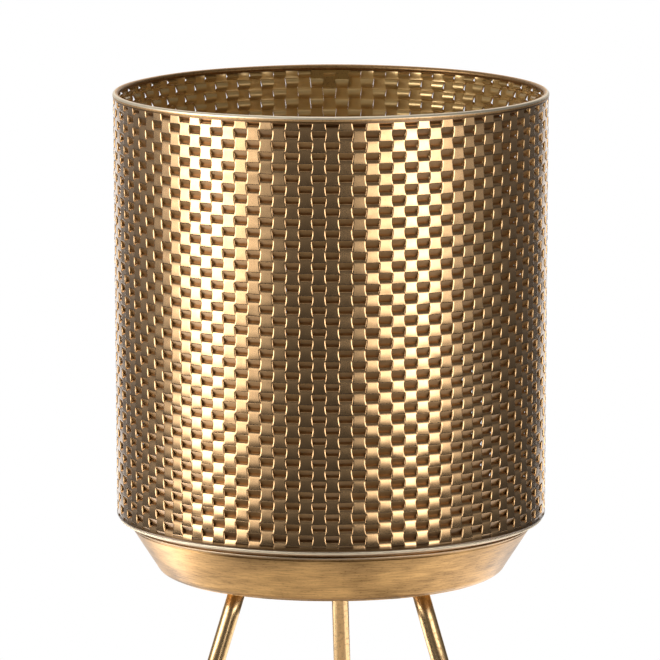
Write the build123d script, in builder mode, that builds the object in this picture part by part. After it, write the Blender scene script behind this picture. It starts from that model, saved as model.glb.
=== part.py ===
"""Planter pot in antique brass: a woven sheet drum on a spun dish with three splayed tube legs.

Millimetres, +Z up. The origin is on the pot's axis at the floor and the front faces -Y.
"""
from build123d import *

import os
from math import cos, degrees, radians, sin

# ---- driving dimensions, millimetres and degrees ----

# Heights: floor to base disc, dish, and drum up to the middle of its rim hoop
stand_height = 200.0
dish_depth = 39.3
wall_height = 294.0

# Drum: one rolled sheet under a wire hoop, turned in at the bottom
wall_radius = 149.4  # outside of the sheet
hoop_wire_radius = 2.0
hoop_overhang = 1.2  # the hoop's outside beyond the sheet's
sheet = 0.8
hem_width = 5.0  # turned in at the bottom, flat on the dish's flange

# Weave: the sheet is slit into upright ribbons between two plain margins
ribbons = 104
slit_width = 0.5
top_margin = 6.0  # from the middle of the hoop to the slits
bottom_margin = 7.0

# Lap seam at the back, brazed on the inside under the rim
lap_width = 28.0
lap_height = 12.0
lap_thickness = 0.6
seam_tacks = 5
seam_tack_width = 4.0
seam_tack_height = 9.0

# Spun dish: flange, short neck, shoulder, cone, rounded corner and a bottom lip
dish_sheet = 1.0
flange_inset = 1.9  # flange inside the drum's outside
neck_inset = 11.2  # outside of the neck inside the drum's outside
neck_depth = 5.4  # from the flange's top to the shoulder
shoulder_step = 1.2  # shoulder outside the neck
shoulder_drop = 0.7
cone_run = 18.3  # how far the cone comes in above its corner
corner_run = 4.3  # the corner between cone and lip, drawn as one flat
corner_rise = 4.0
lip_width = 9.3

# Base disc under the dish's lip, and the braze tacks of both joints
disc_thickness = 1.0
disc_inset = 1.8  # disc edge inside the dish's corner
base_tacks = 8
tack_length = 7.0
tack_leg = 1.6

# Legs: round tubes that screw to angled sockets under the disc
leg_azimuths = {"back": 4.4, "front_right": 123.5, "front_left": 241.2}  # from +Y towards +X
leg_inset = 44.0  # from the disc's edge to the leg axes, at the disc's underside
leg_splay = 19.3
tube_radius = 6.0
tube_wall = 1.0
socket_wall = 1.5  # at the hexagon's flats
socket_length = 9.0
stud_reach = 7.0  # into the socket
plug_length = 16.0  # into the tube

# Feet: rubber caps on the tubes, cut level at the floor
foot_wall = 1.45
foot_height = 20.0  # along the leg
foot_sole = 6.0  # rubber between the tube's end and the floor, along the leg

fit = 0.05  # clearance between pieces that slide or are brazed together
hoop_flats = 8  # the hoop's round wire is drawn with this many flats, to keep the model light

# ---- places worked out from them ----

disc_bottom_z = stand_height
dish_bottom_z = disc_bottom_z + disc_thickness
flange_z = dish_bottom_z + dish_depth  # top of the flange, where the drum stands
hoop_z = flange_z + wall_height
hoop_center_radius = wall_radius + hoop_overhang - hoop_wire_radius
sheet_top_z = hoop_z - hoop_wire_radius - fit
hem_radius = wall_radius - hem_width
slit_low = flange_z + bottom_margin
slit_high = hoop_z - top_margin
neck_radius = wall_radius - neck_inset
shoulder_radius = neck_radius + shoulder_step
cone_foot_radius = shoulder_radius - cone_run
cone_bottom_radius = cone_foot_radius - corner_run
disc_radius = cone_bottom_radius - disc_inset
lip_radius = cone_bottom_radius - lip_width
leg_circle = disc_radius - leg_inset
leg_length = stand_height / cos(radians(leg_splay))
bore_radius = tube_radius - tube_wall
socket_corner_radius = (bore_radius + socket_wall) / cos(radians(30))
foot_radius = tube_radius + fit + foot_wall

parts = []


def keep(builder, label):
    """Name a finished sub-part and keep it for export."""
    builder.part.label = label
    parts.append(builder.part)


def leg_plane(azimuth):
    """Plane at the top of a leg, with its normal down along the leg; azimuth is from +Y towards +X."""
    out = Vector(sin(radians(azimuth)), cos(radians(azimuth)), 0)
    top = out * leg_circle + Vector(0, 0, disc_bottom_z)
    down = out * sin(radians(leg_splay)) - Vector(0, 0, cos(radians(leg_splay)))
    across = Vector(cos(radians(azimuth)), -sin(radians(azimuth)), 0)
    return Plane(origin=top, x_dir=across, z_dir=down)


# ---- drum ----

with BuildPart() as pot_wall:
    with BuildSketch(Plane.XZ):
        with BuildLine():
            Polyline(
                (wall_radius, flange_z),
                (wall_radius, sheet_top_z),
                (wall_radius - sheet, sheet_top_z),
                (wall_radius - sheet, flange_z + sheet),
                (hem_radius, flange_z + sheet),
                (hem_radius, flange_z),
                close=True,
            )
        make_face()
    revolve(axis=Axis.Z)
    with Locations((0, 0, (slit_low + slit_high) / 2)):
        with PolarLocations(wall_radius, ribbons, start_angle=90 + 180 / ribbons):
            Box(2 * hem_width, slit_width, slit_high - slit_low, mode=Mode.SUBTRACT)
keep(pot_wall, "pot_wall")

with BuildPart() as rim_hoop:
    with BuildSketch(Plane.XZ):
        with Locations((hoop_center_radius, hoop_z)):
            RegularPolygon(hoop_wire_radius, hoop_flats)
    revolve(axis=Axis.Z)
keep(rim_hoop, "rim_hoop")

# The lap's braze: a thin patch inside the seam under the rim, and tacks down the seam below it
braze_radius = wall_radius - sheet - fit
lap_bottom_z = sheet_top_z - lap_height
tack_pitch = (lap_bottom_z - slit_low - seam_tack_height) / seam_tacks
patches = [(lap_bottom_z, lap_width, lap_height)]
patches += [(slit_low + tack_pitch * n, seam_tack_width, seam_tack_height) for n in range(seam_tacks)]

with BuildPart() as seam_braze:
    for patch_z, patch_width, patch_height in patches:
        with BuildSketch(Plane.XY.offset(patch_z)):
            Circle(braze_radius)
            Circle(braze_radius - lap_thickness, mode=Mode.SUBTRACT)
            with Locations((0, braze_radius)):
                Rectangle(patch_width, 2 * hem_width, mode=Mode.INTERSECT)
        extrude(amount=patch_height)
keep(seam_braze, "seam_braze")

# ---- base ----

neck_bottom_z = flange_z - neck_depth

with BuildPart() as base_dish:
    with BuildSketch(Plane.XZ):
        with BuildLine():
            Polyline(
                (wall_radius - flange_inset, flange_z - dish_sheet),
                (neck_radius, flange_z - dish_sheet),
                (neck_radius, neck_bottom_z),
                (shoulder_radius, neck_bottom_z - shoulder_drop),
                (cone_foot_radius, dish_bottom_z + corner_rise),
                (cone_bottom_radius, dish_bottom_z),
                (lip_radius, dish_bottom_z),
            )
            offset(amount=dish_sheet, kind=Kind.INTERSECTION, side=Side.RIGHT, closed=True)
        make_face()
    revolve(axis=Axis.Z)
keep(base_dish, "base_dish")

with BuildPart() as bottom_disc:
    with BuildSketch(Plane.XY.offset(disc_bottom_z)):
        Circle(disc_radius)
    extrude(amount=disc_thickness)
keep(bottom_disc, "bottom_disc")


def ring_of_tacks(corner_radius_mm, corner_z, outward, upward):
    """Small three-sided braze tacks in the corner of a ring joint, evenly spaced."""
    section = [
        (corner_radius_mm, corner_z),
        (corner_radius_mm + outward, corner_z),
        (corner_radius_mm, corner_z + upward),
    ]
    sweep_angle = degrees(tack_length / corner_radius_mm)
    with BuildPart() as tacks:
        for index in range(base_tacks):
            turn = 360 * (index + 0.5) / base_tacks - 90 - sweep_angle / 2
            with BuildSketch(Plane.XZ.rotated((0, 0, turn))):
                with BuildLine():
                    Polyline(*section, close=True)
                make_face()
            revolve(axis=Axis.Z, revolution_arc=sweep_angle)
    return tacks


keep(ring_of_tacks(hem_radius - fit, flange_z + fit, -tack_leg, sheet), "hem_tacks")
keep(ring_of_tacks(disc_radius + fit, dish_bottom_z - fit, disc_inset, -disc_thickness + fit), "disc_tacks")

# ---- legs ----

leg_planes = [leg_plane(azimuth) for azimuth in leg_azimuths.values()]

# Hexagonal weld sockets, cut level where they meet the disc
with BuildPart() as leg_sockets:
    for plane in leg_planes:
        with BuildSketch(plane.offset(socket_length)):
            RegularPolygon(socket_corner_radius, 6)
            Circle(bore_radius, mode=Mode.SUBTRACT)
        extrude(amount=-(socket_length + 2 * socket_corner_radius))
    split(bisect_by=Plane.XY.offset(disc_bottom_z), keep=Keep.BOTTOM)
keep(leg_sockets, "leg_sockets")

# Studs that join each tube to its socket
with BuildPart() as leg_studs:
    for plane in leg_planes:
        with BuildSketch(plane.offset(socket_length - stud_reach)):
            Circle(bore_radius - fit)
        extrude(amount=stud_reach + plug_length)
keep(leg_studs, "leg_studs")

for plane, name in zip(leg_planes, leg_azimuths):
    with BuildPart() as leg:
        with BuildSketch(plane.offset(socket_length)):
            Circle(tube_radius)
            Circle(bore_radius, mode=Mode.SUBTRACT)
        extrude(amount=leg_length - socket_length - foot_sole)
    keep(leg, f"leg_{name}")

# Rubber feet: each bored for its tube and cut level at the floor
with BuildPart() as feet:
    for plane in leg_planes:
        with BuildSketch(plane.offset(leg_length - foot_height)):
            Circle(foot_radius)
            Circle(tube_radius + fit, mode=Mode.SUBTRACT)
        extrude(amount=foot_height - foot_sole)
        with BuildSketch(plane.offset(leg_length - foot_sole)):
            Circle(foot_radius)
        extrude(amount=foot_sole + foot_radius)
    split(bisect_by=Plane.XY, keep=Keep.TOP)
keep(feet, "feet")

# ---- export ----

os.makedirs("parts", exist_ok=True)
for part in parts:
    export_step(part, f"parts/{part.label}.step")
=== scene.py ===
"""Planter pot in antique brass: woven drum, wire rim, spun dish and three splayed tube legs.

Laid out as a Blender add-on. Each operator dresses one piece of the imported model, and the last
one sets up the stage. Lengths are metres, +Z is up and the front faces -Y.
"""

from math import cos, pi, radians, sin, tan

import bpy
import numpy as np
from mathutils import Matrix, Vector


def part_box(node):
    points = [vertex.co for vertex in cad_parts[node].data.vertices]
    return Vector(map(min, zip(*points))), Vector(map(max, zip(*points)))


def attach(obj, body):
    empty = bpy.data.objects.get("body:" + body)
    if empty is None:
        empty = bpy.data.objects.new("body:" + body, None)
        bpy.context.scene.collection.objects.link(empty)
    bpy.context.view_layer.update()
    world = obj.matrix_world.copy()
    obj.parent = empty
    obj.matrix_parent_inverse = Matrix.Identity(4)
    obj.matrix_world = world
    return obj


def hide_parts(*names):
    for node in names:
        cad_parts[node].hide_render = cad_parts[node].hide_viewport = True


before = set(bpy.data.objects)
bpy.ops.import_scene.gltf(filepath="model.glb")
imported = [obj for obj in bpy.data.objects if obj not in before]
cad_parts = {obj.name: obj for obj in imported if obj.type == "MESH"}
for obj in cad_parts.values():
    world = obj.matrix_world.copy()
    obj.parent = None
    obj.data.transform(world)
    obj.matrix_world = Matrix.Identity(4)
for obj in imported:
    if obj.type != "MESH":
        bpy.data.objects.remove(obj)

bl_info = {
    "name": "Woven brass planter",
    "version": (1, 0, 0),
    "blender": (4, 5, 0),
    "location": "View3D > Sidebar > Planter",
    "description": "Dresses the packed planter pot and sets up its stage",
    "category": "Add Mesh",
}

MM = 0.001
LEG_NODES = ("leg_back", "leg_front_right", "leg_front_left")
LEG_SPLAY = radians(19.3)
TUBE_RADIUS = 6.0 * MM
BORE_RADIUS = 5.0 * MM
HEM_WIDTH = 5.0 * MM
RING_STEPS = 288
DISC_STEPS = 192
TUBE_STEPS = 48
SHARP_ANGLE = radians(50)

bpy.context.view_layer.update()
wall_low, wall_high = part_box("pot_wall")
hoop_low, hoop_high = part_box("rim_hoop")
dish_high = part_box("base_dish")[1]
disc_low, disc_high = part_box("bottom_disc")


# ---- settings ----


class WeaveSettings(bpy.types.PropertyGroup):
    """Sizes of the drum's woven sheet."""

    ribbons: bpy.props.IntProperty(name="Ribbons", description="Upright ribbons round the drum", default=104)
    turn: bpy.props.FloatProperty(
        name="Turn",
        description="How far the front ribbon's middle stands to the right",
        default=radians(0.39),
        subtype="ANGLE",
    )
    top_radius: bpy.props.FloatProperty(
        name="Top radius", description="Drum's outside under the rim", default=150.2 * MM, unit="LENGTH"
    )
    foot_radius: bpy.props.FloatProperty(
        name="Foot radius", description="Drum's outside at the dish", default=148.85 * MM, unit="LENGTH"
    )
    sheet: bpy.props.FloatProperty(
        name="Sheet", description="Thickness of the sheet", default=0.7 * MM, unit="LENGTH"
    )
    period: bpy.props.FloatProperty(
        name="Period", description="Height of one wave of a ribbon", default=14.86 * MM, unit="LENGTH"
    )
    plateau: bpy.props.FloatProperty(
        name="Plateau",
        description="Share of a wave that stays at the outside",
        default=0.53,
        subtype="FACTOR",
    )
    depth: bpy.props.FloatProperty(
        name="Depth", description="How far a ribbon dips inwards", default=2.5 * MM, unit="LENGTH"
    )
    crown: bpy.props.FloatProperty(
        name="Crown", description="Bulge of a plateau along the ribbon", default=0.2 * MM, unit="LENGTH"
    )
    cross_crown: bpy.props.FloatProperty(
        name="Cross crown",
        description="Bulge of a plateau across the ribbon",
        default=0.02 * MM,
        unit="LENGTH",
    )
    zigzag: bpy.props.FloatProperty(
        name="Zigzag", description="Sideways swing of the slits", default=0.45 * MM, unit="LENGTH"
    )
    slit: bpy.props.FloatProperty(
        name="Slit", description="Open width between two ribbons", default=0.06 * MM, unit="LENGTH"
    )
    roll_width: bpy.props.FloatProperty(
        name="Roll width", description="Width of a ribbon's rolled edge", default=0.85 * MM, unit="LENGTH"
    )
    roll_drop: bpy.props.FloatProperty(
        name="Roll drop",
        description="How far a ribbon's edge rolls inwards",
        default=0.72 * MM,
        unit="LENGTH",
    )
    top_margin: bpy.props.FloatProperty(
        name="Top margin", description="Plain sheet under the rim's middle", default=2.6 * MM, unit="LENGTH"
    )
    bottom_margin: bpy.props.FloatProperty(
        name="Bottom margin", description="Plain sheet above the dish", default=1.5 * MM, unit="LENGTH"
    )
    foot_round: bpy.props.FloatProperty(
        name="Foot round",
        description="Rounding of the sheet where it turns in",
        default=1.4 * MM,
        unit="LENGTH",
    )
    first_wave: bpy.props.FloatProperty(
        name="First wave",
        description="Where the front ribbon's wave stands at the top",
        default=0.681,
        subtype="FACTOR",
    )
    tilt: bpy.props.FloatProperty(
        name="Tilt", description="Uneven lean of the plateaus", default=radians(0.9), subtype="ANGLE"
    )


class FinishSettings(bpy.types.PropertyGroup):
    """Colours of the finishes, as sRGB hex."""

    brass: bpy.props.StringProperty(
        name="Brass", description="Plated brass where it is rubbed", default="#DDB07A"
    )
    # brown of the patina, clouds and specks, also painted shade under the rim's wire and in the dish's
    # groove and creases
    patina_and_painted_light: bpy.props.StringProperty(
        name="Patina", description="Brown left in creases and clouds", default="#553D24"
    )
    # brown of the dips' patina, also painted shade under the creases, at the foot and on the margins
    hollow: bpy.props.StringProperty(
        name="Hollow", description="Browned brass in the dips", default="#A27C4E"
    )
    inside: bpy.props.StringProperty(name="Inside", description="Brass inside the drum", default="#D4AE6C")
    dish: bpy.props.StringProperty(name="Dish", description="Brushed brass of the dish", default="#DDAD6F")
    # painted highlight: the pale brass on the rim's top and on the dish's flange and bead
    painted_highlight: bpy.props.StringProperty(name="Worn", description="Pale brass of worn edges", default="#FAEBD0")
    leg: bpy.props.StringProperty(name="Leg", description="Polished brass of the legs", default="#E4BD88")
    braze: bpy.props.StringProperty(name="Braze", description="Brazing alloy as it set", default="#B8985E")
    rubber: bpy.props.StringProperty(name="Rubber", description="Moulded feet", default="#242321")
    steel: bpy.props.StringProperty(name="Steel", description="Zinc plated studs", default="#B9BABC")


class StageSettings(bpy.types.PropertyGroup):
    """Camera, panels and floor."""

    distance: bpy.props.FloatProperty(
        name="Distance", description="Camera to the drum's axis", default=4.55684, unit="LENGTH"
    )
    elevation: bpy.props.FloatProperty(
        name="Elevation", description="Camera above the horizon", default=radians(9.062), subtype="ANGLE"
    )
    aim_height: bpy.props.FloatProperty(
        name="Aim height", description="Height that the camera looks at", default=0.36853, unit="LENGTH"
    )
    roll: bpy.props.FloatProperty(
        name="Roll", description="Camera's roll", default=radians(-0.02), subtype="ANGLE"
    )
    lens: bpy.props.FloatProperty(name="Lens", description="Focal length in millimetres", default=358.59)
    shift: bpy.props.FloatProperty(
        name="Shift", description="Sideways shift of the lens", default=-0.95 / 660
    )
    ambient: bpy.props.FloatProperty(name="Ambient", description="Grey light of the room", default=0.45)
    softbox_radius: bpy.props.FloatProperty(
        name="Softbox radius", description="Softboxes' distance from the axis", default=1.2, unit="LENGTH"
    )
    flag_radius: bpy.props.FloatProperty(
        name="Flag radius", description="Flags' distance from the axis", default=3.5, unit="LENGTH"
    )
    floor_radius: bpy.props.FloatProperty(
        name="Floor radius", description="Radius of the pale floor", default=0.5, unit="LENGTH"
    )


# ---- small helpers ----


def linear(hex_text):
    """Turn an sRGB hex value into a linear RGBA tuple."""
    channels = [int(hex_text[k : k + 2], 16) / 255 for k in (1, 3, 5)]
    return tuple([c / 12.92 if c <= 0.04045 else ((c + 0.055) / 1.055) ** 2.4 for c in channels] + [1.0])


def add_node(tree, kind, inputs=None, **settings):
    """Add a node, set its properties, and set or link its inputs by name or number."""
    node = tree.nodes.new(kind)
    for key, value in settings.items():
        setattr(node, key, value)
    for key, value in (inputs or {}).items():
        if isinstance(value, bpy.types.NodeSocket):
            tree.links.new(value, node.inputs[key])
        else:
            node.inputs[key].default_value = value
    return node


def blank_material(name):
    """Make an empty node material and return it with its tree."""
    material = bpy.data.materials.new(name)
    material.use_nodes = True
    material.node_tree.nodes.clear()
    return material, material.node_tree


def mesh_piece(name, vertices, quads, attributes=None):
    """Make a smooth mesh object from arrays, with float attributes on its vertices."""
    mesh = bpy.data.meshes.new(name)
    mesh.from_pydata([tuple(v) for v in vertices], [], [tuple(q) for q in quads])
    for key, values in (attributes or {}).items():
        layer = mesh.attributes.new(key, "FLOAT", "POINT")
        layer.data.foreach_set("value", np.asarray(values, np.float32))
    mesh.validate()
    mesh.shade_smooth()
    piece = bpy.data.objects.new(name, mesh)
    bpy.context.scene.collection.objects.link(piece)
    return piece


def lathe(profile, segments, wobble=None):
    """Revolve a closed (radius, height) profile round Z and return vertices and quads."""
    count = len(profile)
    profile = np.asarray(profile, float)
    angles = np.arange(segments) * 2 * pi / segments
    vertices = np.empty((segments, count, 3))
    for j, angle in enumerate(angles):
        radius, height = profile[:, 0], profile[:, 1]
        if wobble:
            radius, height = wobble(angle, radius, height)
        vertices[j] = np.stack([radius * cos(angle), radius * sin(angle), height], axis=1)
    quads = []
    for j in range(segments):
        k = (j + 1) % segments
        for i in range(count):
            n = (i + 1) % count
            quads.append((j * count + i, k * count + i, k * count + n, j * count + n))
    return vertices.reshape(-1, 3), quads


def arc(center, radius, start, end, steps):
    """Points on an arc in the (radius, height) plane, angles in degrees."""
    turns = np.radians(np.linspace(start, end, steps + 1))
    return [(center[0] + radius * cos(t), center[1] + radius * sin(t)) for t in turns]


def dress(piece, material, slot_name, *nodes):
    """Give a piece its material, ride it on the body and let it stand for its nodes; slot_name is not used.
    """
    piece.data.materials.clear()
    piece.data.materials.append(material)
    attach(piece, "root")
    if nodes:
        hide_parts(*nodes)


def finish_node(node_name, material):
    """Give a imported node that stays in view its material."""
    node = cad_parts[node_name]
    node.data.materials.clear()
    node.data.materials.append(material)


# ---- materials ----


def metal_shader(tree, color, roughness, bump=None, **more):
    """Close a metal's tree with its shader and output; more sets or links other inputs of the shader."""
    inputs = {"Base Color": color, "Metallic": 1.0, "Roughness": roughness, **more}
    if bump is not None:
        inputs["Normal"] = bump
    shader = add_node(tree, "ShaderNodeBsdfPrincipled", inputs)
    add_node(tree, "ShaderNodeOutputMaterial", {"Surface": shader.outputs["BSDF"]})


def antique_woven_brass():
    """Pressed steel sheet plated in brass, darkened and rubbed back: bright plateaus, brown hollows.

    The mesh says where: hollow is 1 in the dips, whose brown is patina and also painted shade under each
    crease, at the foot and on the margins; inside is 1 inside the drum, and soil_and_painted_light is above
    0 where the dips beside the rim and the foot turn browner still.
    """
    finish = bpy.context.scene.planter_finish
    material, tree = blank_material("antique_woven_brass")
    place = add_node(tree, "ShaderNodeTexCoord").outputs["Object"]
    hollow = add_node(tree, "ShaderNodeAttribute", attribute_name="hollow").outputs["Fac"]
    inside = add_node(tree, "ShaderNodeAttribute", attribute_name="inside").outputs["Fac"]
    # mottle of the darkening, about 6 mm across, and specks about 0.8 mm across
    mottle = add_node(tree, "ShaderNodeTexNoise", {"Vector": place, "Scale": 1 / (6 * MM), "Detail": 3.0})
    specks = add_node(tree, "ShaderNodeTexNoise", {"Vector": place, "Scale": 1 / (0.8 * MM), "Detail": 2.0})
    speck = add_node(
        tree, "ShaderNodeMapRange", {"Value": specks.outputs["Fac"], 1: 0.56, 2: 0.72, 3: 0.0, 4: 0.2}
    )
    uneven = add_node(
        tree, "ShaderNodeMapRange", {"Value": mottle.outputs["Fac"], 1: 0.4, 2: 0.75, 3: 0.0, 4: 0.35}
    )
    deep = add_node(tree, "ShaderNodeMapRange", {"Value": hollow, 1: 0.0, 2: 1.0, 3: 0.0, 4: 0.9})
    first = add_node(
        tree, "ShaderNodeMath", {0: deep.outputs[0], 1: uneven.outputs[0]}, operation="ADD"
    )
    brown = add_node(
        tree, "ShaderNodeMath", {0: first.outputs[0], 1: speck.outputs[0]}, operation="ADD", use_clamp=True
    )
    outer = add_node(
        tree,
        "ShaderNodeMix",
        {"Factor": brown.outputs[0], 6: linear(finish.brass), 7: linear(finish.hollow)},
        data_type="RGBA",
    )
    outer = paint_soil_and_light(tree, outer.outputs[2])
    color = add_node(
        tree, "ShaderNodeMix", {"Factor": inside, 6: outer, 7: linear(finish.inside)}, data_type="RGBA"
    )
    rough = add_node(
        tree, "ShaderNodeMapRange", {"Value": deep.outputs[0], 1: 0.0, 2: 0.9, 3: 0.21, 4: 0.42}
    )
    # clear lacquer, thin in the dips; the inside is brass dulled by a film, so it mirrors less
    lacquer = add_node(tree, "ShaderNodeMapRange", {"Value": hollow, 1: 0.0, 2: 1.0, 3: 1.0, 4: 0.5})
    plated = add_node(tree, "ShaderNodeMapRange", {"Value": inside, 1: 0.0, 2: 1.0, 3: 1.0, 4: 0.6})
    rough = add_node(tree, "ShaderNodeMix", {0: inside, 2: rough.outputs[0], 3: 0.26})
    bump = add_node(
        tree,
        "ShaderNodeBump",
        {"Height": specks.outputs["Fac"], "Strength": 0.03, "Distance": 0.05 * MM},
    )
    coat = {"Coat Weight": lacquer.outputs[0], "Coat Roughness": 0.2, "Metallic": plated.outputs[0]}
    metal_shader(tree, color.outputs[2], rough.outputs[0], bump.outputs[0], **coat)
    return material


def paint_soil_and_light(tree, color):
    """Turn a metal's colour brown where its mesh's soil_and_painted_light is above 0, as patina and painted
    shade, and pale where it is below, as a painted highlight.
    """
    finish = bpy.context.scene.planter_finish
    soil_and_painted_light = add_node(tree, "ShaderNodeAttribute", attribute_name="soil_and_painted_light").outputs["Fac"]
    for end, hex_text in ((1.0, finish.patina_and_painted_light), (-1.0, finish.painted_highlight)):
        share = add_node(tree, "ShaderNodeMapRange", {"Value": soil_and_painted_light, 1: 0.0, 2: end, 3: 0.0, 4: 1.0})
        mixed = add_node(
            tree,
            "ShaderNodeMix",
            {"Factor": share.outputs[0], 6: color, 7: linear(hex_text)},
            data_type="RGBA",
        )
        color = mixed.outputs[2]
    return color


def rubbed_brass(name, color_hex, roughness, speck_size):
    """Plated brass rubbed bright, with a few brown specks, and the painted shade and highlight that its
    mesh's soil_and_painted_light sets.
    """
    finish = bpy.context.scene.planter_finish
    material, tree = blank_material(name)
    place = add_node(tree, "ShaderNodeTexCoord").outputs["Object"]
    specks = add_node(tree, "ShaderNodeTexNoise", {"Vector": place, "Scale": 1 / speck_size, "Detail": 4.0})
    speck = add_node(
        tree, "ShaderNodeMapRange", {"Value": specks.outputs["Fac"], 1: 0.5, 2: 0.75, 3: 0.0, 4: 0.5}
    )
    color = add_node(
        tree,
        "ShaderNodeMix",
        {"Factor": speck.outputs[0], 6: linear(color_hex), 7: linear(finish.patina_and_painted_light)},
        data_type="RGBA",
    )
    bump = add_node(
        tree, "ShaderNodeBump", {"Height": specks.outputs["Fac"], "Strength": 0.1, "Distance": 0.08 * MM}
    )
    rough = add_node(
        tree,
        "ShaderNodeMapRange",
        {"Value": specks.outputs["Fac"], 1: 0.3, 2: 0.7, 3: roughness - 0.03, 4: roughness + 0.08},
    )
    metal_shader(tree, paint_soil_and_light(tree, color.outputs[2]), rough.outputs[0], bump.outputs[0])
    return material


def spun_brass():
    """Spun brass, brushed round: fine streaks and broad brown clouds, with painted shade in the groove and
    creases and painted highlights on the flange and bead.
    """
    finish = bpy.context.scene.planter_finish
    material, tree = blank_material("spun_brushed_brass")
    place = add_node(tree, "ShaderNodeTexCoord").outputs["Object"]
    axes = add_node(tree, "ShaderNodeSeparateXYZ", {0: place})
    across = add_node(tree, "ShaderNodeMath", {0: axes.outputs[1], 1: -1.0}, operation="MULTIPLY")
    # angle round the axis, 0 at the front, with its seam at the back
    turn = add_node(tree, "ShaderNodeMath", {0: axes.outputs[0], 1: across.outputs[0]}, operation="ARCTAN2")
    round_the_dish = add_node(tree, "ShaderNodeCombineXYZ", {0: turn.outputs[0], 1: axes.outputs[2]})
    middle_radius = 130 * MM
    soil_and_painted_light = add_node(tree, "ShaderNodeAttribute", attribute_name="soil_and_painted_light").outputs["Fac"]
    heights, brown = [], 0.0
    # length round and height of each mark, its detail, the range that turns brown, and how brown
    marks = (
        (90 * MM, 25 * MM, 3.0, 0.36, 0.7, 0.5),
        (30 * MM, 5 * MM, 3.0, 0.42, 0.72, 0.22),
        (14 * MM, 0.8 * MM, 4.0, 0.42, 0.75, 0.38),
        (2.5 * MM, 0.8 * MM, 2.0, 0.56, 0.76, 0.3),
    )
    for length, height, detail, low, high, share in marks:
        stretched = add_node(
            tree,
            "ShaderNodeVectorMath",
            {0: round_the_dish.outputs[0], 1: (middle_radius / length, 1 / height, 1.0)},
            operation="MULTIPLY",
        )
        noise = add_node(
            tree, "ShaderNodeTexNoise", {"Vector": stretched.outputs[0], "Scale": 1.0, "Detail": detail}
        )
        mark = add_node(
            tree, "ShaderNodeMapRange", {"Value": noise.outputs["Fac"], 1: low, 2: high, 3: 0.0, 4: share}
        )
        brown = add_node(
            tree, "ShaderNodeMath", {0: brown, 1: mark.outputs[0]}, operation="ADD", use_clamp=True
        )
        brown = brown.outputs[0]
        heights.append(noise.outputs["Fac"])
    color = add_node(
        tree,
        "ShaderNodeMix",
        {"Factor": brown, 6: linear(finish.dish), 7: linear(finish.patina_and_painted_light)},
        data_type="RGBA",
    )
    # it is rougher where a highlight is painted
    rough = add_node(tree, "ShaderNodeMapRange", {"Value": soil_and_painted_light, 1: 0.0, 2: -1.0, 3: 0.3, 4: 0.6})
    bump = add_node(tree, "ShaderNodeBump", {"Height": heights[1], "Strength": 0.2, "Distance": 0.08 * MM})
    metal_shader(tree, paint_soil_and_light(tree, color.outputs[2]), rough.outputs[0], bump.outputs[0])
    return material


def moulded_rubber():
    """Matt black rubber, moulded, with a fine grain."""
    finish = bpy.context.scene.planter_finish
    material, tree = blank_material("moulded_rubber")
    place = add_node(tree, "ShaderNodeTexCoord").outputs["Object"]
    grain = add_node(tree, "ShaderNodeTexNoise", {"Vector": place, "Scale": 1 / (0.5 * MM), "Detail": 2.0})
    bump = add_node(
        tree, "ShaderNodeBump", {"Height": grain.outputs["Fac"], "Strength": 0.2, "Distance": 0.05 * MM}
    )
    dust = add_node(
        tree, "ShaderNodeMapRange", {"Value": grain.outputs["Fac"], 1: 0.3, 2: 0.8, 3: 0.55, 4: 0.8}
    )
    shader = add_node(
        tree,
        "ShaderNodeBsdfPrincipled",
        {
            "Base Color": linear(finish.rubber),
            "Roughness": dust.outputs[0],
            "IOR": 1.52,
            "Normal": bump.outputs[0],
        },
    )
    add_node(tree, "ShaderNodeOutputMaterial", {"Surface": shader.outputs["BSDF"]})
    return material


# ---- woven wall ----


# a dip from its top down: share of its height and of its depth
DIP = ((0.0, 0.0), (0.6, 1.0), (0.74, 0.33), (1.0, 0.0))
# shares of a dip's height: where the patina, with painted shade under the crease, has set in, where it has
# gone, and over what share it goes
PATINA_SHADE_START = 0.05
PATINA_SHADE_END = 0.78
PATINA_SHADE_FADE = 0.13
# painted shade where the drum meets the dish: its foot is brown up to this height
FOOT_SHADE_HEIGHT = 3.4 * MM
# more brown in the dips beside the foot and the rim: how far from the end it starts, over what
# height it grows, and its strength in the dips and on the plain margins
FOOT_BROWN = (18 * MM, 12 * MM)
TOP_BROWN = (12 * MM, 8 * MM)
BROWN_SHARE = 0.6
MARGIN_BROWN = 0.7
# scatter of the waves, and the most waves that a ribbon can have
WAVE_SCATTER = 0.012
MOST_WAVES = 24
# shares of a wave over which a ribbon goes flat at its top and its foot
TOP_FADE = 0.08
FOOT_FADE = 0.1


def dip_depth(share, plateau):
    """0 on a plateau and 1 at the crest of a dip, with a straight slope in and a broken one out."""
    within = np.clip((share % 1 - plateau) / (1 - plateau), 0, 1)
    return np.interp(within, [stop[0] for stop in DIP], [stop[1] for stop in DIP])


def inner_pad(share, plateau):
    """How far the inside of a dip stands out, 0 to 1, rounded at both ends."""
    return np.sqrt(np.sin(pi * np.clip((share % 1 - plateau) / (1 - plateau), 0, 1)))


def patina_and_crease_shade(share, plateau):
    """Patina in a dip, with painted shade under the crease: from the crease down past the crest; the slope
    that leads back out stays rubbed.
    """
    within = (share % 1 - plateau) / (1 - plateau)
    return np.clip(within / PATINA_SHADE_START, 0, 1) * np.clip((PATINA_SHADE_END - within) / PATINA_SHADE_FADE, 0, 1)


def swing(share, plateau):
    """-1 at a plateau's top, where a ribbon is narrowest, to 1 at its bottom, and back."""
    turned = (share - plateau / 2) % 1
    return np.where(turned < 0.25, 4 * turned, np.where(turned < 0.75, 2 - 4 * turned, 4 * turned - 4))


def drum_radius(weave, height):
    """Outside radius of the drum at a height."""
    share = (height - wall_low.z) / (wall_high.z - wall_low.z)
    return weave.foot_radius + share * (weave.top_radius - weave.foot_radius)


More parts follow.
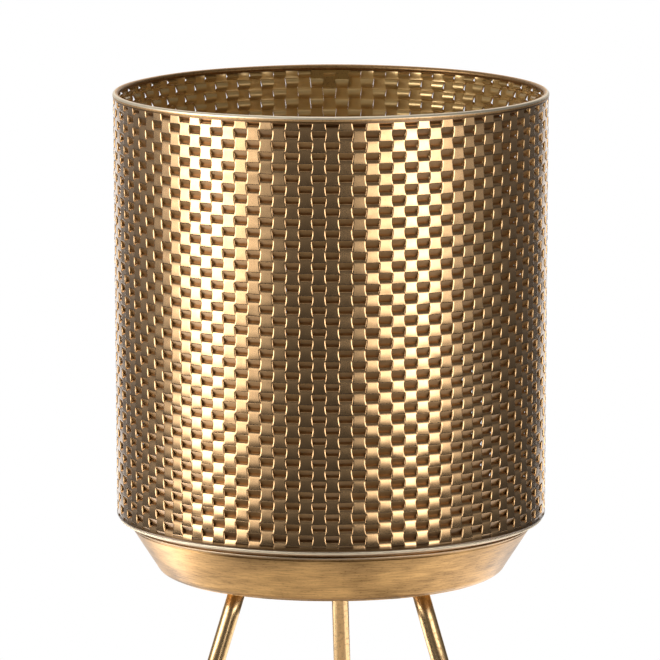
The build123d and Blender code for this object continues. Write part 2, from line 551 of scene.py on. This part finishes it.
# shares of a wave where a ribbon has a row of points: close together at the creases
ROW_SHARES = (
    0.0, 0.02, 0.05, 0.14, 0.27, 0.4, 0.5, 0.53,
    0.555, 0.62, 0.71, 0.797, 0.812, 0.827, 0.878, 0.935,
)  # fmt: skip
# shares of the rolled edge where a ribbon has a point, and how far it has dropped there
EDGE_SHARES = ((0.0, 1.0), (0.22, 0.5), (0.8, 0.06), (1.0, 0.0), (1.3, 0.0))


def ribbon_rows(first, span):
    """Shares of the wave at a ribbon's rows, from its top to its foot."""
    grid = np.arange(int(first), int(first + span) + 2)[:, None] + np.array(ROW_SHARES)[None, :]
    inner = grid.ravel()
    inner = inner[(inner > first + 0.01) & (inner < first + span - 0.01)]
    return np.concatenate([[first], inner, [first + span]])


def woven_ribbons(weave):
    """Vertices, quads and attributes of all ribbons between the two margins."""
    rng = np.random.default_rng(7)
    top = (hoop_low.z + hoop_high.z) / 2 - weave.top_margin
    bottom = wall_low.z + weave.bottom_margin
    pitch = 2 * pi / weave.ribbons
    steps = [share * weave.roll_width for share, _ in EDGE_SHARES]
    drops = [drop * weave.roll_drop for _, drop in EDGE_SHARES]
    outside = 2 * len(steps)
    under = (outside - 1, outside - 3, 2, 0)
    section = outside + len(under)
    all_vertices, all_quads, hollow, inner, soil_and_painted_light = [], [], [], [], []
    base = 0
    for index in range(weave.ribbons):
        first = weave.first_wave + 0.5 * (index % 2) + rng.normal(0, WAVE_SCATTER)
        share = ribbon_rows(first % 1, (top - bottom) / weave.period)
        rows = len(share)
        heights = top - (share - first % 1) * weave.period
        radius = drum_radius(weave, heights)
        fade_in = np.clip((top - heights) / (TOP_FADE * weave.period), 0, 1)
        fade_out = np.clip((heights - bottom) / (FOOT_FADE * weave.period), 0, 1)
        fade = fade_in * fade_in * (3 - 2 * fade_in) * fade_out * fade_out * (3 - 2 * fade_out)
        cell = np.floor(share).astype(int)
        lean = rng.normal(0, tan(weave.tilt), (MOST_WAVES, 2))
        dip = dip_depth(share, weave.plateau) * fade
        beside = dip_depth(share + 0.5, weave.plateau) * fade
        along = share % 1 / weave.plateau
        bulge = np.where(along < 1, 1 - (2 * along - 1) ** 2, 0)
        window = np.where(along < 1, np.sin(pi * np.clip(along, 0, 1)), 0)
        half = radius * pitch / 2 + weave.zigzag * swing(share, weave.plateau) * fade - weave.slit / 2
        flat = half**2 / (2 * radius)
        level = radius - flat - weave.crown * (1 - bulge) * fade - (weave.depth - weave.crown) * dip
        level = level + lean[cell, 0] * window * (along - 0.5) * weave.plateau * weave.period
        across = [-half + step for step in steps] + [half - step for step in steps[::-1]]
        fallen = drops + drops[::-1]
        ring = []
        for x, drop in zip(across, fallen):
            r = level - drop * beside + (flat - weave.cross_crown) * (x / half) ** 2
            ring.append((x, r + lean[cell, 1] * window * x))
        # inside the drum each dip shows as a rounded pad
        pad = inner_pad(share, weave.plateau) * fade - dip
        ring += [(ring[n][0], ring[n][1] - weave.sheet - (weave.depth - weave.crown) * pad) for n in under]
        middle = -pi / 2 + weave.turn + index * pitch
        for x, r in ring:
            angle = middle + x / radius
            all_vertices.append(np.stack([r * np.cos(angle), r * np.sin(angle), heights], axis=1))
        for n in range(section):
            m = (n + 1) % section
            a = base + n * rows + np.arange(rows - 1)
            b = base + m * rows + np.arange(rows - 1)
            all_quads.append(np.stack([a, a + 1, b + 1, b], axis=1))
        # painted shade: brown at the foot, where the drum meets the dish
        foot_shade = np.clip((wall_low.z + FOOT_SHADE_HEIGHT - heights) / MM, 0, 1)
        brown = np.maximum(patina_and_crease_shade(share, weave.plateau) * fade, foot_shade)
        hollow.append(np.tile(brown, outside))
        hollow.append(np.zeros(rows * len(under)))
        # the dips beside the rim and the foot turn browner still
        ends = np.clip((wall_low.z + FOOT_BROWN[0] - heights) / FOOT_BROWN[1], 0, 1)
        ends = np.maximum(ends, np.clip((heights - top + TOP_BROWN[0]) / TOP_BROWN[1], 0, 1))
        soil_and_painted_light.append(np.tile(BROWN_SHARE * brown * ends, outside))
        soil_and_painted_light.append(np.zeros(rows * len(under)))
        inner.append(np.repeat([0.0] * outside + [1.0] * len(under), rows))
        base += section * rows
    layers = {
        "hollow": np.concatenate(hollow),
        "inside": np.concatenate(inner),
        "soil_and_painted_light": np.concatenate(soil_and_painted_light),
    }
    return np.concatenate(all_vertices), np.concatenate(all_quads), layers


class PLANTER_OT_woven_wall(bpy.types.Operator):
    """Build the drum: pressed ribbons between a plain margin at the top and one at the bottom"""

    bl_idname = "planter.woven_wall"
    bl_label = "Woven wall"

    def execute(self, context):
        weave = context.scene.planter_weave
        vertices, quads, layers = woven_ribbons(weave)
        hoop_middle = (hoop_low.z + hoop_high.z) / 2
        top = hoop_middle - weave.top_margin
        bottom = wall_low.z + weave.bottom_margin
        overlap = 0.05 * MM
        edge = hoop_middle - 1.0 * MM
        segments = 2 * weave.ribbons
        foot, round_ = weave.foot_radius, weave.foot_round
        corner = (foot - round_, wall_low.z + round_)
        margins = [
            [
                (drum_radius(weave, top), top - overlap),
                (drum_radius(weave, top), edge),
                (drum_radius(weave, top) - weave.sheet, edge),
                (drum_radius(weave, top) - weave.sheet, top - overlap),
            ],
            arc(corner, round_, -90, 0, 4)
            + [
                (drum_radius(weave, bottom), bottom + overlap),
                (drum_radius(weave, bottom) - weave.sheet, bottom + overlap),
            ]
            + arc(corner, round_ - weave.sheet, 0, -90, 4)
            + [(foot - HEM_WIDTH, wall_low.z + weave.sheet), (foot - HEM_WIDTH, wall_low.z)],
        ]
        for profile in margins:
            ring, faces = lathe(profile, segments)
            quads = np.concatenate([quads, np.array(faces) + len(vertices)])
            vertices = np.concatenate([vertices, ring])
            # painted shade: the plain margins under the hoop and at the foot are brown
            for key, level in (("hollow", 1.0), ("inside", 0.0), ("soil_and_painted_light", MARGIN_BROWN)):
                layers[key] = np.concatenate([layers[key], np.full(len(ring), level)])
        piece = mesh_piece("woven_wall", vertices, quads, layers)
        piece.data.set_sharp_from_angle(angle=SHARP_ANGLE)
        dress(piece, antique_woven_brass(), "woven_brass", "pot_wall")
        return {"FINISHED"}


class PLANTER_OT_rim(bpy.types.Operator):
    """Build the rim: a round wire hoop of rubbed brass, with a painted highlight on top and painted shade
    underneath
    """

    bl_idname = "planter.rim"
    bl_label = "Rim"

    def execute(self, context):
        finish = context.scene.planter_finish
        wire = 2.0 * MM
        center = (hoop_high.x - wire - 0.05 * MM, hoop_high.z - wire - 0.45 * MM)
        # points 15 degrees apart, from the outside over the top
        profile = arc(center, wire, 0, 345, 23)
        # painted highlight: pale outside towards the top; painted shade: brown inside and underneath
        soil_and_painted_light = [-1.0 if 1 <= k <= 5 else 0.45 if 8 <= k <= 20 else 0.0 for k in range(len(profile))]

        def sprung(angle, radius, height):
            """The hoop stands proud at the front and the back and low at the sides."""
            return radius, height + MM * (0.15 * cos(angle) - 0.38 * cos(2 * angle) + 0.05 * sin(9 * angle))

        vertices, quads = lathe(profile, RING_STEPS, sprung)
        piece = mesh_piece("rim_wire_hoop", vertices, quads, {"soil_and_painted_light": np.tile(soil_and_painted_light, RING_STEPS)})
        brass = rubbed_brass("rubbed_rim_brass", finish.brass, 0.42, 1.5 * MM)
        dress(piece, brass, "rim_brass", "rim_hoop")
        return {"FINISHED"}


# outside of the dish, from the flange's edge down, in millimetres: radius, height from the flange's top, and
# how much painted shade (1) or painted highlight (-1) it has there
DISH_OUTER = (
    (147.0, 0.0, 0.3),
    (147.6, -0.3, -0.9),
    (147.5, -1.2, -0.9),
    (146.9, -2.0, -0.8),
    (145.3, -2.8, 0.2),
    (143.5, -3.6, 0.3),
    (142.0, -4.2, 0.4),
    (140.3, -4.6, 0.4),
    (139.3, -4.9, 0.3),
    (139.5, -5.3, 0.0),
    (140.1, -5.6, -0.4),
    (140.3, -6.1, -0.4),
    (139.9, -6.7, 0.0),
    (139.0, -7.2, 0.3),
    (138.6, -7.8, 0.2),
    (138.3, -8.6, 0.1),
    (137.7, -9.7, 0.0),
    (130.2, -21.4, 0.0),
    (122.7, -33.0, 0.0),
    (121.2, -35.5, 0.0),
    (119.8, -37.4, 0.0),
    (118.0, -38.8, 0.1),
    (115.9, -39.3, 0.3),
    (107.5, -39.3, 0.3),
)
# inside of the dish, from the lip up: radius and height
DISH_INNER = (
    (107.5, -38.3),
    (115.2, -38.3),
    (118.4, -36.5),
    (121.6, -32.6),
    (137.4, -7.6),
    (137.6, -6.0),
    (137.6, 0.0),
)


def smooth_line(points, steps):
    """Points along a smooth curve through the given ones."""
    ends = [points[0], *points, points[-1]]
    line = []
    for before, start, end, after in zip(ends, ends[1:], ends[2:], ends[3:]):
        for n in range(steps):
            t = n / steps
            weights = (-t + 2 * t**2 - t**3, 2 - 5 * t**2 + 3 * t**3, t + 4 * t**2 - 3 * t**3, t**3 - t**2)
            near = zip(weights, (before, start, end, after))
            line.append(sum(weight * np.array(point) for weight, point in near) / 2)
    return np.array(line + [points[-1]])


class PLANTER_OT_dish(bpy.types.Operator):
    """Build the spun dish: rolled flange, neck, shoulder, cone and turned-in lip"""

    bl_idname = "planter.dish"
    bl_label = "Dish"

    def execute(self, context):
        outer = smooth_line(DISH_OUTER, 5)
        profile = np.concatenate([outer[:, :2], DISH_INNER]) * MM + (0, dish_high.z)
        # painted shade in the groove and creases and painted highlights on the flange and bead, from the
        # profile; the inside is half brown
        patina_and_painted_light = np.concatenate([outer[:, 2], [0.5] * len(DISH_INNER)])

        def spun(angle, radius, height):
            """Slight dents all round, none where the flange carries the drum."""
            dent = 0.10 * MM * sin(5 * angle + 0.4) + 0.07 * MM * sin(11 * angle + 2.0)
            share = np.clip((dish_high.z - 3 * MM - height) / (10 * MM), 0, 1)
            return radius + dent * share, height

        vertices, quads = lathe(profile, RING_STEPS, spun)
        piece = mesh_piece("spun_dish", vertices, quads, {"soil_and_painted_light": np.tile(patina_and_painted_light, RING_STEPS)})
        piece.data.set_sharp_from_angle(angle=SHARP_ANGLE)
        dress(piece, spun_brass(), "dish_brass", "base_dish")
        return {"FINISHED"}


class PLANTER_OT_disc(bpy.types.Operator):
    """Build the base disc under the dish's lip"""

    bl_idname = "planter.disc"
    bl_label = "Base disc"

    def execute(self, context):
        finish = context.scene.planter_finish
        rim, low, high = disc_high.x, disc_low.z, disc_high.z
        cut, middle = 0.25 * MM, 0.01 * MM
        profile = [(middle, low), (rim / 2, low), (rim - cut, low), (rim, low + cut), (rim, high - cut)]
        profile += [(rim - cut, high), (rim / 2, high), (middle, high)]

        def cut_by_hand(angle, radius, height):
            """The edge comes in a little, unevenly, all round."""
            swell = 0.3 * MM * sin(4 * angle + 1.3) * sin(9 * angle)
            return np.where(radius > rim - 2 * cut, radius - abs(swell), radius), height

        vertices, quads = lathe(profile[::-1], DISC_STEPS, cut_by_hand)
        piece = mesh_piece("base_disc", vertices, quads)
        piece.data.set_sharp_from_angle(angle=SHARP_ANGLE)
        brass = rubbed_brass("rolled_disc_brass", finish.dish, 0.38, 3.0 * MM)
        dress(piece, brass, "disc_brass", "bottom_disc")
        return {"FINISHED"}


class PLANTER_OT_braze(bpy.types.Operator):
    """Finish the brazing alloy of the seam, the hem and the disc"""

    bl_idname = "planter.braze"
    bl_label = "Braze"

    def execute(self, context):
        alloy = rubbed_brass("set_brazing_alloy", context.scene.planter_finish.braze, 0.4, 1.2 * MM)
        for node in ("seam_braze", "hem_tacks", "disc_tacks"):
            finish_node(node, alloy)
        return {"FINISHED"}


def leg_axis(node):
    """Upper and lower ends of a leg's axis, from its box."""
    low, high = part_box(node)
    middle = (low + high) / 2
    outwards = Vector((middle.x, middle.y, 0)).normalized()
    size = high - low
    down = outwards * sin(LEG_SPLAY) - Vector((0, 0, cos(LEG_SPLAY)))
    length = (size.z - 2 * TUBE_RADIUS * sin(LEG_SPLAY)) / cos(LEG_SPLAY)
    return middle - down * length / 2, middle + down * length / 2


def tube_along(start, end, profile, segments):
    """Revolve a closed (radius, distance from start) profile round the line from start to end."""
    vertices, quads = lathe(profile, segments)
    turn = (end - start).to_track_quat("Z", "Y").to_matrix()
    placed = vertices @ np.array(turn).T + np.array(start)
    return placed, quads


class PLANTER_OT_legs(bpy.types.Operator):
    """Build the three tube legs and finish their sockets and studs"""

    bl_idname = "planter.legs"
    bl_label = "Legs"

    def execute(self, context):
        finish = context.scene.planter_finish
        brass = rubbed_brass("polished_leg_brass", finish.leg, 0.2, 2.5 * MM)
        tube, bore, cut = TUBE_RADIUS, BORE_RADIUS, 0.3 * MM
        for node in LEG_NODES:
            start, end = leg_axis(node)
            length = (end - start).length
            stops = np.linspace(cut, length - cut, 12)
            profile = [(tube - cut, 0)] + [(tube, s) for s in stops] + [(tube - cut, length), (bore, length)]
            profile += [(bore, s) for s in stops[::-4]] + [(bore, 0)]
            vertices, quads = tube_along(start, end, profile, TUBE_STEPS)
            piece = mesh_piece(node.replace("leg_", "tube_"), vertices, quads)
            piece.data.set_sharp_from_angle(angle=SHARP_ANGLE)
            dress(piece, brass, "leg_brass", node)
        finish_node("leg_sockets", rubbed_brass("plated_socket_steel", finish.leg, 0.32, 1.5 * MM))
        finish_node("leg_studs", rubbed_brass("zinc_plated_studs", finish.steel, 0.35, 1.0 * MM))
        return {"FINISHED"}


class PLANTER_OT_feet(bpy.types.Operator):
    """Finish the rubber feet"""

    bl_idname = "planter.feet"
    bl_label = "Feet"

    def execute(self, context):
        finish_node("feet", moulded_rubber())
        return {"FINISHED"}


# ---- stage ----

# The panels are hidden from the camera and cast no shadow. The two softboxes light matt surfaces
# too. The flags, the ceiling and the card only show in reflections.


def stage_mesh(name, vertices, faces, material):
    """Make a stage object from plain lists."""
    piece = mesh_piece(name, vertices, faces)
    piece.data.materials.append(material)
    return piece


# shares of the floor's radius between which it runs out to white
FLOOR_FADE = (0.45, 0.78)


def pale_floor_material(radius):
    """Matt pale paper that keeps the shadow and runs out to white at its edge."""
    material, tree = blank_material("pale_paper_floor")
    place = add_node(tree, "ShaderNodeTexCoord").outputs["Object"]
    reach = add_node(tree, "ShaderNodeVectorMath", {0: place}, operation="LENGTH")
    fade = add_node(
        tree,
        "ShaderNodeMapRange",
        {
            "Value": reach.outputs["Value"],
            1: FLOOR_FADE[0] * radius,
            2: FLOOR_FADE[1] * radius,
            3: 0.0,
            4: 1.0,
        },
        interpolation_type="SMOOTHSTEP",
    )
    rays = add_node(tree, "ShaderNodeLightPath").outputs
    seen = add_node(
        tree,
        "ShaderNodeMath",
        {0: rays["Is Camera Ray"], 1: rays["Is Transmission Ray"]},
        operation="MAXIMUM",
    )
    seen = add_node(
        tree, "ShaderNodeMath", {0: seen.outputs[0], 1: rays["Is Glossy Ray"]}, operation="MAXIMUM"
    )
    white = add_node(
        tree, "ShaderNodeMath", {0: seen.outputs[0], 1: fade.outputs[0]}, operation="MULTIPLY"
    )
    paper = add_node(tree, "ShaderNodeBsdfDiffuse", {"Color": linear("#F2F1EF")})
    glow = add_node(tree, "ShaderNodeEmission", {"Color": (1, 1, 1, 1), "Strength": 1.0})
    both = add_node(
        tree, "ShaderNodeMixShader", {0: white.outputs[0], 1: paper.outputs[0], 2: glow.outputs[0]}
    )
    add_node(tree, "ShaderNodeOutputMaterial", {"Surface": both.outputs[0]})
    return material


def glow_material():
    """Glow of a studio panel, as bright at each point as its mesh says."""
    material, tree = blank_material("studio_panel")
    radiance = add_node(tree, "ShaderNodeAttribute", attribute_name="radiance").outputs["Fac"]
    glow = add_node(tree, "ShaderNodeEmission", {"Color": (1, 1, 1, 1), "Strength": radiance})
    add_node(tree, "ShaderNodeOutputMaterial", {"Surface": glow.outputs[0]})
    return material


def glow_panel(name, place, radiance, material, lights=False):
    """Panel that shows in reflections, and lights matt surfaces if lights is True.

    place and radiance take two shares, 0 to 1: how far across the panel and how far along it.
    """
    steps = 40
    shares = [(k / steps, n / steps) for k in range(steps + 1) for n in range(steps + 1)]
    corners = [k * (steps + 1) + n for k in range(steps) for n in range(steps)]
    faces = [(corner, corner + 1, corner + steps + 2, corner + steps + 1) for corner in corners]
    glow = [float(radiance(across, along)) for across, along in shares]
    piece = mesh_piece(name, [place(across, along) for across, along in shares], faces, {"radiance": glow})
    piece.data.materials.append(material)
    piece.visible_camera = False
    piece.visible_transmission = False
    piece.visible_shadow = False
    piece.visible_diffuse = lights


def from_table(table, value):
    """Value of a table of stops, straight between them."""
    return np.interp(value, [stop[0] for stop in table], [stop[1] for stop in table])


def upright_panel(name, radius, sides, heights, material, lights=False):
    """Panel on a cylinder round the axis.

    sides is a table of azimuth and radiance, and heights one of height and share of that radiance.
    """

    def turn(across):
        return sides[0][0] + (sides[-1][0] - sides[0][0]) * across

    def rise(along):
        return heights[0][0] + (heights[-1][0] - heights[0][0]) * along

    def place(across, along):
        azimuth = radians(turn(across))
        return radius * sin(azimuth), -radius * cos(azimuth), rise(along)

    def radiance(across, along):
        return from_table(sides, turn(across)) * from_table(heights, rise(along))

    glow_panel(name, place, radiance, material, lights)


# share of a level panel's width where its inner table starts to give way, and over what share
BLEND_START = 0.35
BLEND_WIDTH = 0.15


def level_panel(name, height, inner, outer, inside, outside, material):
    """Panel at a height round the axis; inside and outside are tables of azimuth and radiance."""

    def turn(across):
        return inside[0][0] + (inside[-1][0] - inside[0][0]) * across

    def place(across, along):
        azimuth, reach = radians(turn(across)), inner + (outer - inner) * along
        return reach * sin(azimuth), -reach * cos(azimuth), height

    def radiance(across, along):
        blend = min(max(along - BLEND_START, 0) / BLEND_WIDTH, 1)
        return (1 - blend) * from_table(inside, turn(across)) + blend * from_table(outside, turn(across))

    glow_panel(name, place, radiance, material)


# softboxes, azimuth from the front in degrees and radiance: bright in the middle and falling off to
# both ends, and the right one has a second, narrow bright strip at 23 degrees
LEFT_BOX = (
    (-112, 0.25), (-104, 0.28), (-97, 0.4), (-91, 0.7), (-86, 1.3), (-80, 2.8), (-74, 4.6), (-66, 6.0),
    (-57, 5.0), (-51, 3.0), (-46, 2.0), (-41, 1.4), (-36, 0.9), (-31, 0.5), (-26, 0.22), (-21, 0.13),
)  # fmt: skip
RIGHT_BOX = (
    (11, 0.14), (15, 0.5), (19, 1.9), (23, 2.8), (27, 2.2), (32, 3.0), (38, 4.6), (44, 5.2),
    (51, 3.9), (57, 2.4), (63, 1.2), (69, 0.6), (75, 0.45), (82, 0.35), (90, 0.24), (98, 0.15),
)  # fmt: skip
# height in metres and share of the radiance
LEFT_HEIGHTS = ((0.02, 0.3), (0.12, 0.8), (0.18, 1.0), (1.0, 1.0), (1.3, 0.1))
RIGHT_HEIGHTS = ((0.02, 0.1), (0.12, 0.5), (0.18, 1.0), (0.45, 1.0), (0.62, 0.5), (0.9, 0.05))
# dark cloth round the set and over it
FLAGS = ((-150, 0.27), (-112, 0.27), (-90, 0.16), (0, 0.145), (98, 0.14), (150, 0.13))
FLAG_HEIGHTS = ((-3.2, 0.4), (-0.9, 0.4), (0.6, 1.0), (7.0, 1.0))
CEILING = ((-125, 0.14), (125, 0.14))
CEILING_HEIGHT = 7.0
CEILING_INNER = 2.2
# card on the floor, darker in front than at the sides: near the dish, and at the floor's edge
CARD_NEAR = (
    (-150, 1.0), (-94, 1.05), (-60, 1.08), (-30, 0.7), (0, 0.88),
    (20, 0.85), (46, 1.2), (70, 1.4), (92, 1.6), (150, 1.8),
)  # fmt: skip
CARD_FAR = (
    (-150, 0.7), (-138, 0.8), (-120, 3.0), (-90, 4.2), (-60, 3.0), (-40, 1.0), (-25, 0.2),
    (0, 0.04), (25, 0.3), (57, 1.1), (85, 1.2), (105, 1.5), (150, 1.8),
)  # fmt: skip
CARD_HEIGHT = 1 * MM
CARD_INNER = 0.16
# two low flags that keep the softboxes' lower ends off the legs
LEG_FLAG_RADIUS = 0.22
LEG_FLAG_LEFT = ((-62, 0.12), (-12, 0.12))
LEG_FLAG_RIGHT = ((8, 0.12), (58, 0.12))
LEG_FLAG_HEIGHTS = ((0.05, 1.0), (0.19, 1.0))


class PLANTER_OT_stage(bpy.types.Operator):
    """Set up camera, floor, panels and world"""

    bl_idname = "planter.stage"
    bl_label = "Stage"

    def execute(self, context):
        scene = context.scene
        stage = scene.planter_stage
        back = Vector((0, -cos(stage.elevation), sin(stage.elevation)))
        lens = bpy.data.cameras.new("camera")
        lens.lens = stage.lens
        lens.sensor_width = 36
        lens.shift_x = stage.shift
        lens.clip_start, lens.clip_end = 0.1, 60
        camera = bpy.data.objects.new("camera", lens)
        camera.location = Vector((0, 0, stage.aim_height)) + back * stage.distance
        facing = (-back).to_track_quat("-Z", "Y").to_matrix().to_4x4()
        camera.rotation_euler = (facing @ Matrix.Rotation(stage.roll, 4, "Z")).to_euler()
        scene.collection.objects.link(camera)
        scene.camera = camera

        steps = 96
        ring = [
            (stage.floor_radius * cos(2 * pi * k / steps), stage.floor_radius * sin(2 * pi * k / steps), 0.0)
            for k in range(steps)
        ]
        stage_mesh("pale_floor", ring, [tuple(range(steps))], pale_floor_material(stage.floor_radius))

        glow = glow_material()
        upright_panel("softbox_left", stage.softbox_radius, LEFT_BOX, LEFT_HEIGHTS, glow, True)
        upright_panel("softbox_right", stage.softbox_radius, RIGHT_BOX, RIGHT_HEIGHTS, glow, True)
        upright_panel("flags", stage.flag_radius, FLAGS, FLAG_HEIGHTS, glow)
        level_panel("dark_ceiling", CEILING_HEIGHT, stage.flag_radius, CEILING_INNER, CEILING, CEILING, glow)
        level_panel("grey_card", CARD_HEIGHT, CARD_INNER, stage.floor_radius, CARD_NEAR, CARD_FAR, glow)
        upright_panel("leg_flag_left", LEG_FLAG_RADIUS, LEG_FLAG_LEFT, LEG_FLAG_HEIGHTS, glow)
        upright_panel("leg_flag_right", LEG_FLAG_RADIUS, LEG_FLAG_RIGHT, LEG_FLAG_HEIGHTS, glow)

        world = bpy.data.worlds.new("studio")
        scene.world = world
        world.use_nodes = True
        tree = world.node_tree
        tree.nodes.clear()
        rays = add_node(tree, "ShaderNodeLightPath").outputs
        seen = add_node(
            tree, "ShaderNodeMath", {0: rays["Is Camera Ray"], 1: rays["Is Glossy Ray"]}, operation="MAXIMUM"
        )
        seen = add_node(
            tree, "ShaderNodeMath", {0: seen.outputs[0], 1: rays["Is Transmission Ray"]}, operation="MAXIMUM"
        )
        level = add_node(
            tree, "ShaderNodeMapRange", {"Value": seen.outputs[0], 1: 0.0, 2: 1.0, 3: stage.ambient, 4: 1.0}
        )
        glow = add_node(
            tree, "ShaderNodeBackground", {"Color": (1, 1, 1, 1), "Strength": level.outputs[0]}
        )
        add_node(tree, "ShaderNodeOutputWorld", {"Surface": glow.outputs[0]})
        scene.view_settings.view_transform = "Standard"
        return {"FINISHED"}


class PLANTER_PT_panel(bpy.types.Panel):
    """Lists the planter's operators"""

    bl_idname = "PLANTER_PT_panel"
    bl_label = "Planter"
    bl_space_type = "VIEW_3D"
    bl_region_type = "UI"
    bl_category = "Planter"

    def draw(self, context):
        for operator in OPERATORS:
            self.layout.operator(operator.bl_idname)


SETTINGS = {
    "planter_weave": WeaveSettings,
    "planter_finish": FinishSettings,
    "planter_stage": StageSettings,
}
OPERATORS = (
    PLANTER_OT_woven_wall,
    PLANTER_OT_rim,
    PLANTER_OT_dish,
    PLANTER_OT_disc,
    PLANTER_OT_braze,
    PLANTER_OT_legs,
    PLANTER_OT_feet,
    PLANTER_OT_stage,
)


def register():
    """Register the settings, the operators and the panel."""
    for name, group in SETTINGS.items():
        bpy.utils.register_class(group)
        setattr(bpy.types.Scene, name, bpy.props.PointerProperty(type=group))
    for kind in (*OPERATORS, PLANTER_PT_panel):
        bpy.utils.register_class(kind)


def unregister():
    """Take away what register added."""
    for kind in (PLANTER_PT_panel, *reversed(OPERATORS)):
        bpy.utils.unregister_class(kind)
    for name, group in reversed(SETTINGS.items()):
        delattr(bpy.types.Scene, name)
        bpy.utils.unregister_class(group)


def main():
    """Build everything in order."""
    register()
    for operator in OPERATORS:
        family, action = operator.bl_idname.split(".")
        getattr(getattr(bpy.ops, family), action)()


if __name__ == "__main__":
    main()
